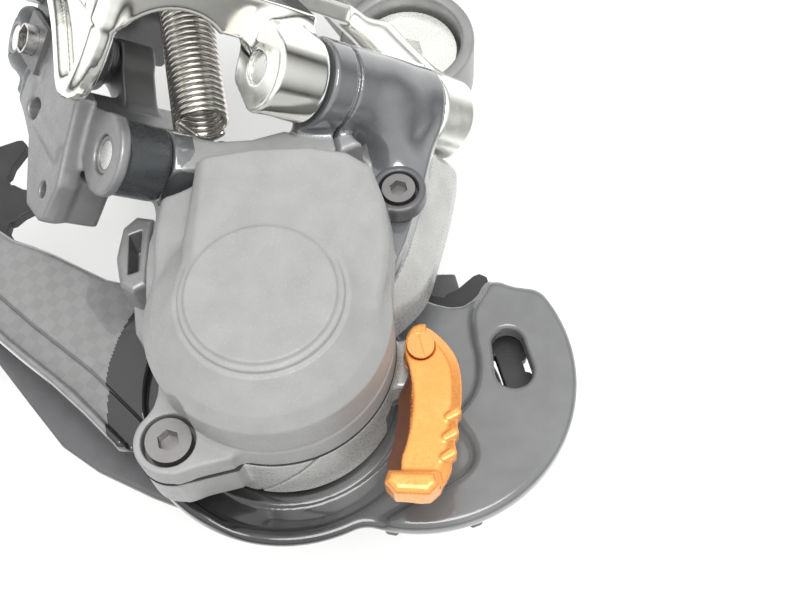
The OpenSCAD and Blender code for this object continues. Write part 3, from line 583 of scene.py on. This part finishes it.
def outer_link_field(u, v, d):
    p1, b1 = np.hypot(u - LINK_LEN, v), np.hypot(u, v)
    near = join(slab(p1 - 6.8, d, -44.5, -35.6, 0.5),
                capsule(u, v, d, (LINK_LEN - 3, -3.4, -40.2), (20, -7.2, -46), 4.4, 2.2), 2.5)
    far = join(slab(p1 - 6.8, d, -12.8, -6.1, 0.5),
               join(capsule(u, v, d, (LINK_LEN - 3, -3, -9.6), (20, -7.4, -23), 3.3, 2),
                    capsule(u, v, d, (LINK_LEN - 1, -1, -9.4), (28, -6, -16), 3.6, 3.2), 2), 2)
    ceiling = -6.4 + 2.4 * step(u, 15, 27)
    tunnel = np.hypot(v - 6.2, d + 56) - 10.2
    hood = np.maximum(np.maximum(-9.3 - v, u - 38.6), np.maximum(-70.5 - d, d + 36))
    hood = meet(hood, np.hypot(np.minimum(v + 3.5, 0), np.minimum(d + 63.6, 0)) - 5.8, 0.5)
    hood = meet(hood, np.where(d < -50, v - 0.5, v + 6.4 - 4 * step(u, 15, 27)), 0.4)
    hood = meet(hood, -np.where(u > 15, tunnel, v - ceiling), 0.6)
    hood = meet(hood, 1.5 - u, 1)
    web = slab(np.maximum(np.maximum(-9.4 - v, v + 6.4), np.maximum(1.5 - u, u - 26)), d, -69, -22, 1.0)
    bosses = np.minimum(slab(b1 - 6.2, d, -58, -50.3, 0.5), slab(b1 - 6.2, d, -28.7, -22, 0.5))
    gusset = poly(u, v, [(-5, -3), (-0.5, -8.9), (14, -8.9), (14, -6.6), (6, 1.2)])
    gussets = np.minimum(slab(gusset, d, -58, -50.3, 0.5), slab(gusset, d, -28.7, -22, 0.5))
    bosses = join(bosses, gussets, 0.8)
    lobe = poly(u, v, FIN_EDGE) - 0.4
    fin = slab(lobe, d, -69.4, -65.6, 1.3)
    fin = cut(fin, np.maximum(lobe + 3.2, d + 68.0), 1.6)
    out = join(near, hood, 2.2)
    out = join(out, web, 1.2)
    out = join(out, fin, 2.0)
    out = join(out, far, 1.2)
    out = join(out, bosses, 1.0)
    # bores, room for the knuckle's boss and for the spring
    out = cut(out, np.maximum(b1 - 3.05, np.abs(d + 40) - 20), 0.15)
    out = cut(out, np.maximum(p1 - 3.05, np.abs(d + 25.1) - 19.2), 0.05)
    out = cut(out, np.maximum(p1 - 2.4, d + 40), 0.1)
    out = cut(out, np.maximum(p1 - 7.7, np.abs(d + 24.15) - 11.3), 0.2)
    out = cut(out, np.maximum(b1 - 6.6, np.abs(d + 39.5) - 10.7), 0.2)
    out = cut(out, np.maximum(b1 - 7.4, np.where(d < -58.05, -60.05 - d, FAR)), 0.2)
    relief = capsule(u, v, d, (9, 2.2, -41.5), (60, 14.4, -41.5), 5.0, 5.0)
    return cut(out, relief, 0.4)

RING_R, RING_TURNS = 12.7, range(0, 36, 3)

def ring_room(u, v, d):
    """Where the hanger's ring passes as the link swings."""
    room = FAR
    for turn in RING_TURNS:
        t = LINK_TURN + math.radians(turn)
        c, s = math.cos(t), math.sin(t)
        x, e = B1[0] + u * c - v * s, B1[1] + u * s + v * c
        y, z = e * CS + d * SN, -e * SN + d * CS
        room = np.minimum(room, np.maximum(np.hypot(x, z) - RING_R, -RING_R - y))
    return room

def outer_pick(u, v, d):
    p1 = np.hypot(u - LINK_LEN, v)
    faces = (np.abs(d + 44.3) < 0.45) & (u > 14) & (v > -8.6)
    return np.where(faces | (d > -33), 1, np.where((p1 < 7.4) & (d > -44) & (d < -35), 0, 0))

ob = carve("outer_link_body", (-9, -12, -72), (52, 17, -4), 0.3,
           lambda u, v, d: cut(outer_link_field(u, v, d), ring_room(u, v, d), 0.3),
           [M["polished"], M["cream"]], outer_pick, link_place(B1))
add_piece(ob, "outer_arm", "outer_link")


# ---- inner link ----

def inner_link_field(u, v, d):
    p2, b2 = np.hypot(u - LINK_LEN, v), np.hypot(u, v)
    sheet = poly(u, v, [(10, -2), (11, -6.4), (15, -8), (22, -4.5), (33, -4.4), (35, 3), (37, 9), (36, 15.4),
                        (34.4, 16.6), (28.4, 17.2), (26.6, 15.6), (20, 9), (12, 6.5)]) - 0.4
    sheet = slab(sheet, d, -63, -59.5, 0.6)
    disc = join(p2 - 6.4, poly(u, v, [(34, -4), (42, -6.4), (42, 6.4), (35, 3)]), 0.8)
    disc = slab(disc, d, -59.9, -58.2, 0.35)
    barrel = slab(p2 - 5.9, d, -59, -51, 0.4)
    neck = slab(poly(u, v, [(24, 3.6), (42, -5.6), (42, 5.6), (24, 6.6)]), d, -59.5, -51, 0.6)
    web = slab(poly(u, v, [(8, 3.7), (34, 3.7), (34, 6.5), (8, 6.5)]), d, -63, -31, 0.8)
    arm = join(b2 - 4.5, poly(u, v, [(0.5, -4.2), (12, 3.6), (12, 6.6), (0, 4.4)]), 1)
    arm = slab(arm, d, -44.7, -38, 0.5)
    foot = join(p2 - 5.3, poly(u, v, [(30, 3.7), (42, -5.1), (42, 5.1), (30, 6.5)]), 1)
    foot = slab(foot, d, -36.7, -31, 0.5)
    box = poly(u, v, [(27.6, 8), (36.4, 8), (36.2, 15.2), (34.4, 16.2), (29, 16.6)]) - 0.4
    box = slab(box, d, -62, -53.6, 0.8)
    boss = slab(b2 - 5.4, d, -62.4, -58.8, 0.8)
    tubes = join(capsule(u, v, d, (-1, -3.6, -61), (17, -1.4, -61), 2.3, 2.3),
                 capsule(u, v, d, (1, 2.6, -61), (15, 2.4, -61), 2.6, 2.2), 0.6)
    out = join(sheet, disc, 1.2)
    for part, k in ((barrel, 0.2), (neck, 1.2), (web, 1.5), (arm, 1.5), (foot, 1.5), (box, 1.0), (boss, 0.5),
                    (tubes, 0.8)):
        out = join(out, part, k)
    out = cut(out, np.maximum(b2 - 3.05, np.abs(d + 51) - 14), 0.15)
    out = cut(out, np.maximum(p2 - 3.05, np.abs(d + 45) - 16), 0.15)
    oval = np.hypot((u - 18.9) * 0.9 + (v - 4.6) * 0.2, (v - 4.6) * 1.15) - 2.2
    out = cut(out, np.maximum(oval, d + 58), 0.4)
    out = cut(out, np.maximum(np.hypot(u - 32.6, v - 12.3) - 1.4, d + 58), 0.2)
    out = cut(out, np.maximum(np.hypot(u - 31.4, v - 11.8) - 2.6, -55.4 - d), 0.4)
    return cut(out, np.maximum(np.hypot(u - 11.4, v + 4.2) - 2.5, d + 58), 0.1)

def inner_pick(u, v, d):
    p2 = np.hypot(u - LINK_LEN, v)
    return np.where(((p2 < 6.25) & (d > -58.1) & (d < -50) & (u > 36)) | ((u < 12.5) & (d < -58)), 1, 0)

ob = carve("inner_link_body", (-9, -11, -65), (51, 19, -29), 0.3, inner_link_field,
           [M["grey"], M["barrel"]], inner_pick, link_place(B2))
add_piece(ob, "inner_arm", "inner_link")


# ---- return spring ----

SPRING_DEPTH, SPRING_R, WIRE_R, TURNS, STEPS = -41.5, 4.2, 0.5, 23, 28
COIL_FROM, COIL_END_GAP = 7.0, 9.3

axle_a, axle_b = from_row(*B1, SPRING_DEPTH), from_row(*P2, SPRING_DEPTH)
run = axle_b - axle_a
run_len = float(np.linalg.norm(run))
way = run / run_len
side = from_row(0, 0, 1)
up = np.cross(way, side)
coil = []
for i in range(TURNS * STEPS + 1):
    t = 2 * math.pi * i / STEPS
    place = axle_a + way * (COIL_FROM + (run_len - COIL_END_GAP - COIL_FROM) * i / (TURNS * STEPS))
    coil.append(place + SPRING_R * (math.cos(t) * side + math.sin(t) * up))
verts, faces = tube(coil, WIRE_R, 8)
spring = mesh_object("return_spring_coil", verts, faces, M["wire"])
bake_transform(spring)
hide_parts("link_spring")


# ---- clutch lever ----

LEVER_EDGE = curved([(1.6, 23.0), (4.6, 25.1), (7.6, 26.3), (10.6, 26.4), (15, 25.4), (17.6, 24.2),
                     (20.4, 23.2), (23.4, 22.2), (26, 20.6), (28.2, 18.4), (28.6, 15.4), (26.6, 13.8),
                     (22.4, 14.6), (20.8, 15.9), (15.8, 18.0), (10.7, 19.3), (5.4, 19.2), (2.4, 20.6)])

def lever_field(X, Y, Z):
    a, c, y = X - AX, Z - AZ, Y
    flat = poly(a, c, LEVER_EDGE) - 0.3
    bar = slab(flat, y, -12.4, -9.2, 0.25)
    bevel = (-12.4 - y) * 0.8 + (flat + 1.7) * 0.6
    bar = meet(bar, np.where((c - 22.2) + (a - 6) * 0.28 > 0, bevel, bevel - 0.9), 0.2)
    lower = (c - 20.4) + (a - 6) * 0.3
    facet = flat - 2.3 * np.clip((y + 12.35) / 3.2, 0, 1) * step(a, 7.5, 12) * (1 - step(a, 23, 26))
    facet = slab(np.maximum(facet, lower), y, -12.35, -8.6, 0.2)
    bar = join(bar, facet, 0.15)
    tab = poly(a, c, [(24.4, 12.2), (26.2, 18.6), (28, 18.6), (29, 17), (27.6, 12.4), (25.8, 11.4)])
    tab = slab(tab - 0.3, y, -14.6, -8.8, 1.2)
    out = join(bar, tab, 0.8)
    for ra, rc in ((17.2, 24.7), (20.2, 23.5), (23.2, 22.4)):
        rib = slab(segment(a, c, (ra + 0.1, rc - 0.5), (ra + 0.6, rc - 1.9), 0.75, 0.6), y, -12.65, -9.4, 0.3)
        out = join(out, rib, 0.3)
    for ra, rc in ((18.9, 24.9), (21.9, 23.7), (24.9, 22.4)):
        out = cut(out, np.maximum(ring(a, c, (ra, rc), 0.95), y + 9), 0.25)
    hub = slab(ring(a, c, (6, 21.6), 2.9), y, -9.6, -7.7, 0.3)
    out = join(out, hub, 0.3)
    hub_r = ring(a, c, (LEVER[0], LEVER[2]), 0)
    out = cut(out, np.maximum(np.abs(hub_r - 2.0) - 0.2, y + 11.9), 0.1)
    return cut(out, np.maximum(hub_r - 1.9, y + 6), 0.1)

# the lever's lower facet gets the dark brown gold, which is painted shade and painted reflection
def lever_pick(X, Y, Z):
    a, c = X - AX, Z - AZ
    flat = poly(a, c, LEVER_EDGE) - 0.3
    lower = (c - 20.4) + (a - 6) * 0.3 < 0
    return np.where(lower & (flat > -0.1) & (Y > -12.3) & (a > 7.5) & (a < 25), 1, 0)

low, high = (np.array(v) * 1000 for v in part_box("clutch_lever"))
ob = carve("lever_body", low - 1.5, high + 2.5, 0.18, lever_field, [M["gold"], M["gold_painted_shade"]], lever_pick)
add_piece(ob, "lever", "clutch_lever")
finish_node("lever_screw", "goldscrew", 0.1)


# ---- outer cage plate ----

ARM = [(6.7, -27.0), (-8.5, -36.6), (-20.3, -45.9), (TENSION[0] + 4.2, TENSION[2] - 5.6),
       (TENSION[0] - 4.6, TENSION[2] + 5.2), (-41.4, -44.4), (-36.9, -37.6), (-31.2, -31.2),
       (-27.0, -26.4), (-22, -14), (0, -10)]
RECESS = [(-14, 40), (-8.8, 34), (-5, 32), (-0.4, 31.3), (3.2, 31.2), (7.6, 29.7), (10.4, 26.8), (11.8, 24),
          (14, 25.2), (17.8, 26.6), (20.9, 25.5), (22.5, 20.9), (24.2, 14), (26.5, 6), (30, -6),
          (0, -30), (-30, 10)]
BAY = [(-8.0, 52), (-8.4, 44), (-9.4, 41.4), (-11.6, 39), (-12.2, 37.6), (-11.4, 36), (-9.4, 34.4),
       (-8.2, 31.2), (-10.4, 27.1), (-14, 23.2), (-30, 21), (-44, 52)]
CHANNEL = [(4.8, -24.4), (-10.3, -34), (-22.1, -43.3), (-42, -57.6)]

def plate_field(X, Y, Z):
    a, c, y = X - AX, Z - AZ, Y
    rho = np.hypot(a, c)
    g = ring(a, c, (GUIDE[0], GUIDE[2]), 0)
    flat = join(g - 26.4, rho - 26.5, 1.5)
    flat = join(flat, poly(a, c, curved(ARM, 1)) - 0.5, 2.5)
    flat = join(flat, ring(a, c, (TENSION[0], TENSION[2]), 7), 1.5)
    bay = poly(a, c, curved(BAY, 1)) - 0.6
    flat = meet(flat, -bay, 2.4)
    out = slab(flat, y, 4.2, 6.6, 1.0)
    lobe = meet(flat, -(poly(a, c, curved(RECESS)) - 0.5), 3.0)
    out = join(out, slab(lobe + 0.1, y, 2.75, 5, 1.2), 0.9)
    channel = FAR
    for p, q in zip(CHANNEL, CHANNEL[1:]):
        channel = np.minimum(channel, segment(a, c, p, q, 2.1, 2.1))
    out = cut(out, np.maximum(channel, y - 5.3), 1.3)
    hole = segment(a, c, (1.6, 37.4), (6.6, 37.0), 2.7, 3.2)
    out = cut(out, hole, 0.9)
    pocket = meet(rho - 24.2, 20.5 - rho, 1.0)
    out = cut(out, np.maximum(pocket, y - 4.55), 0.5)
    for (ha, hc), r in (((0, 0), 6.5), ((GUIDE[0], GUIDE[2]), 2.0), ((TENSION[0], TENSION[2]), 2.0),
                        ((-21.9, -1.8), 1.5)):
        out = cut(out, ring(a, c, (ha, hc), r), 0.15)
    return out

low, high = (np.array(v) * 1000 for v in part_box("outer_cage_plate"))
ob = carve("outer_plate_shell", low - 1.5, high + 1.5, 0.3, plate_field, [M["plate"], M["lobe"]],
           lambda X, Y, Z: np.where(np.hypot(X - AX, Z - AZ) < 31, 1, 0) | np.where(Z - AZ > -8, 1, 0))
add_piece(ob, "cage", "outer_cage_plate")


# ---- drain plug: a rounded frame with a slot ----

def plug_field(X, Y, Z):
    a, c, y = X - AX, Z - AZ, Y
    shell = slab(poly(a, c, [(-24.4, -14.9), (-21.4, -15.8), (-13.2, -17.6), (-12.6, -19.6), (-14.2, -21.2),
                             (-19, -21.2), (-24, -19.4), (-25.4, -17.2)]) - 0.3, y, -18.0, -9, 0.9)
    slot = poly(a, c, [(-22.6, -16.9), (-15.8, -18.4), (-15.6, -19.8), (-22.3, -18.7)]) - 0.15
    slot = slab(slot, y, -20, -12, 0.2)
    rib = slab(poly(a, c, [(-25, -20.1), (-14, -22.6), (-14, -24), (-25, -24)]), y, -19, -15.6, 0.3)
    return cut(cut(shell, slot, 0.3), rib, 0.3)

low, high = (np.array(v) * 1000 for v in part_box("drain_plug"))
ob = carve("plug_body", low - 1.2, high + 1.2, 0.16, plug_field, M["grey"])
add_piece(ob, "lower_knuckle", "drain_plug")


# ---- castings that keep their CAD shape, with rounded edges ----

cast("upper_knuckle_body", "b_knuckle", "upper_knuckle", M["dark"], 0.35, 3)
cast("bracket_body", "bracket_link", "hanger_mount", M["ringgrey"], 0.35, 2)
cast("inner_plate_shell", "inner_cage_plate", "cage", M["dark"], 0.3, 1)


# ---- camera, floor and light ----

RIGHT, DOWN, AHEAD = (0.2360, 0.0377, 0.9710), (0.8621, 0.4529, -0.2272), (-0.4484, 0.8908, 0.0744)
CAMERA_MM, LENS = (134.29, -178.05, -27.43), 53.1
SHEET_GAP = 0.02   # metres from the back of the CAD box to the floor sheet
cam = bpy.data.objects.new("camera", bpy.data.cameras.new("camera"))
bpy.context.collection.objects.link(cam)
cam.data.sensor_width = 36.0
cam.data.lens = LENS
cam.data.clip_start = 0.01
cam.data.clip_end = 20
rows = [Vector(RIGHT), -Vector(DOWN), -Vector(AHEAD)]
cam.matrix_world = Matrix.Translation(Vector(CAMERA_MM) * MM) @ Matrix(rows).transposed().to_4x4()
bpy.context.scene.camera = cam

# The floor is the white sheet that the object lies on in the photograph: it faces the camera and
# stands clear behind the object. From behind it can be seen through.
ahead = Vector(AHEAD).normalized()
behind = max(Vector(p) @ ahead for p in itertools.product(*zip(*CAD_BOX))) + SHEET_GAP
sheet = bpy.data.meshes.new("floor")
corners = [(ahead * behind + Vector(RIGHT) * i + Vector(DOWN) * j)
           for i, j in ((-1, 1), (1, 1), (1, -1), (-1, -1))]
sheet.from_pydata(corners, [], [(0, 1, 2, 3)])
if (corners[1] - corners[0]).cross(corners[2] - corners[1]) @ ahead > 0:
    sheet.flip_normals()
floor = bpy.data.objects.new("floor", sheet)
bpy.context.collection.objects.link(floor)
paper = material("floor_paper", (0.88, 0.88, 0.88), 0.8, spread=0.01, size=20, mottle=200)
T = paper.node_tree
back_side, clear, pass_on = (T.nodes.new(kind) for kind in (
    "ShaderNodeNewGeometry", "ShaderNodeBsdfTransparent", "ShaderNodeMixShader"))
T.links.new(back_side.outputs["Backfacing"], pass_on.inputs["Fac"])
T.links.new(T.nodes["Principled BSDF"].outputs[0], pass_on.inputs[1])
T.links.new(clear.outputs[0], pass_on.inputs[2])
T.links.new(pass_on.outputs[0], T.nodes["Material Output"].inputs["Surface"])
floor.data.materials.append(paper)

def area(name, place, target, size, power):
    lamp = bpy.data.lights.new(name, "AREA")
    lamp.shape, lamp.size, lamp.energy = "DISK", size, power
    ob = bpy.data.objects.new(name, lamp)
    bpy.context.collection.objects.link(ob)
    ob.location = place
    ob.rotation_euler = (Vector(target) - Vector(place)).to_track_quat("-Z", "Y").to_euler()

centre = (0.03, 0, -0.03)
area("front", (0.2, -0.65, 0.0), centre, 0.4, 3.1)

world = bpy.data.worlds.new("studio")
bpy.context.scene.world = world
world.use_nodes = True
W = world.node_tree
back = W.nodes["Background"]
# white paper behind the object, a bright room in front of it, and a dark rim between them
tc = W.nodes.new("ShaderNodeTexCoord")
facing = W.nodes.new("ShaderNodeVectorMath")
facing.operation = "DOT_PRODUCT"
facing.inputs[1].default_value = AHEAD
rng = W.nodes.new("ShaderNodeValToRGB")
for i, (at, v) in enumerate(((0.25, 1.27), (0.43, 0.03), (0.575, 1.02))):
    el = rng.color_ramp.elements[i] if i < 2 else rng.color_ramp.elements.new(at)
    el.position, el.color = at, (v, v, v * 0.99, 1)
mr = W.nodes.new("ShaderNodeMapRange")
mr.inputs["From Min"].default_value = -1
W.links.new(tc.outputs["Generated"], facing.inputs[0])
W.links.new(facing.outputs["Value"], mr.inputs["Value"])
W.links.new(mr.outputs["Result"], rng.inputs["Fac"])
W.links.new(rng.outputs["Color"], back.inputs["Color"])
white = W.nodes.new("ShaderNodeBackground")
white.inputs["Color"].default_value = (1, 1, 1, 1)
path = W.nodes.new("ShaderNodeLightPath")
mix = W.nodes.new("ShaderNodeMixShader")
W.links.new(path.outputs["Is Camera Ray"], mix.inputs["Fac"])
W.links.new(back.outputs[0], mix.inputs[1])
W.links.new(white.outputs[0], mix.inputs[2])
W.links.new(mix.outputs[0], W.nodes["World Output"].inputs["Surface"])
bpy.context.scene.view_settings.view_transform = "Standard"
